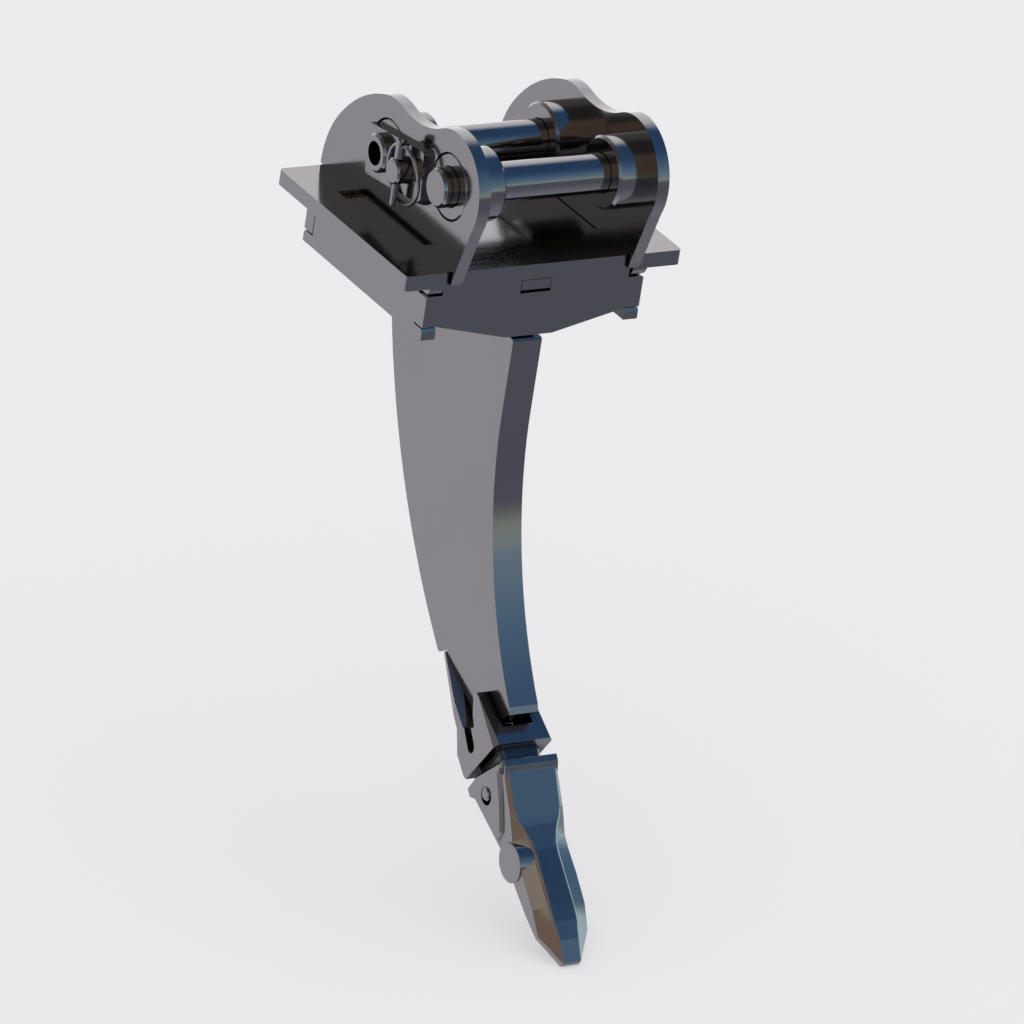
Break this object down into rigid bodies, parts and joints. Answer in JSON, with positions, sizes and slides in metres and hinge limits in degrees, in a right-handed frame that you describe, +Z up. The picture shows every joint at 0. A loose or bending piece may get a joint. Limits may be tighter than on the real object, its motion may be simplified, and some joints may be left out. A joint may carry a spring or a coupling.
{
  "type": "ripper shank tooth",
  "caption": "Curved ripper shank under a welded coupler box with pinned ears, ending in a forked adapter and a faceted tooth.",
  "frame": {"origin": "on the front pin's axis, half way between the two ears", "axes": "+Z up away from the tooth, +X to the right hand along the pins, the tooth points forward along -Y"},
  "size_m": [0.236, 0.3812, 0.5977],
  "materials": {
    "plate_steel": "rolled plate, dark polished look",
    "shank_steel": "thick rolled plate, dark polished look",
    "boss_steel": "turned",
    "pin_steel": "ground bar",
    "spring_wire": "drawn wire",
    "cast_steel": "cast and dressed",
    "tooth_steel": "cast and dressed"
  },
  "bodies": {
    "root": {"top_plate": "plate_steel", "front_plate": "plate_steel", "back_plate": "plate_steel", "right_side_plate": "plate_steel", "left_side_plate": "plate_steel", "right_ear": "plate_steel", "left_ear": "plate_steel", "front_right_boss": "boss_steel", "front_left_boss": "boss_steel", "rear_right_boss": "boss_steel", "rear_left_boss": "boss_steel", "front_pin": "pin_steel", "rear_pin": "pin_steel", "front_keeper": "plate_steel", "rear_keeper": "plate_steel", "front_stud": "pin_steel", "rear_stud": "pin_steel", "front_linch_pin": "pin_steel", "rear_linch_pin": "pin_steel", "front_linch_ring": "spring_wire", "rear_linch_ring": "spring_wire", "shank": "shank_steel", "adapter": "cast_steel", "tooth": "tooth_steel", "tooth_pin": "pin_steel"}
  },
  "joints": []
}
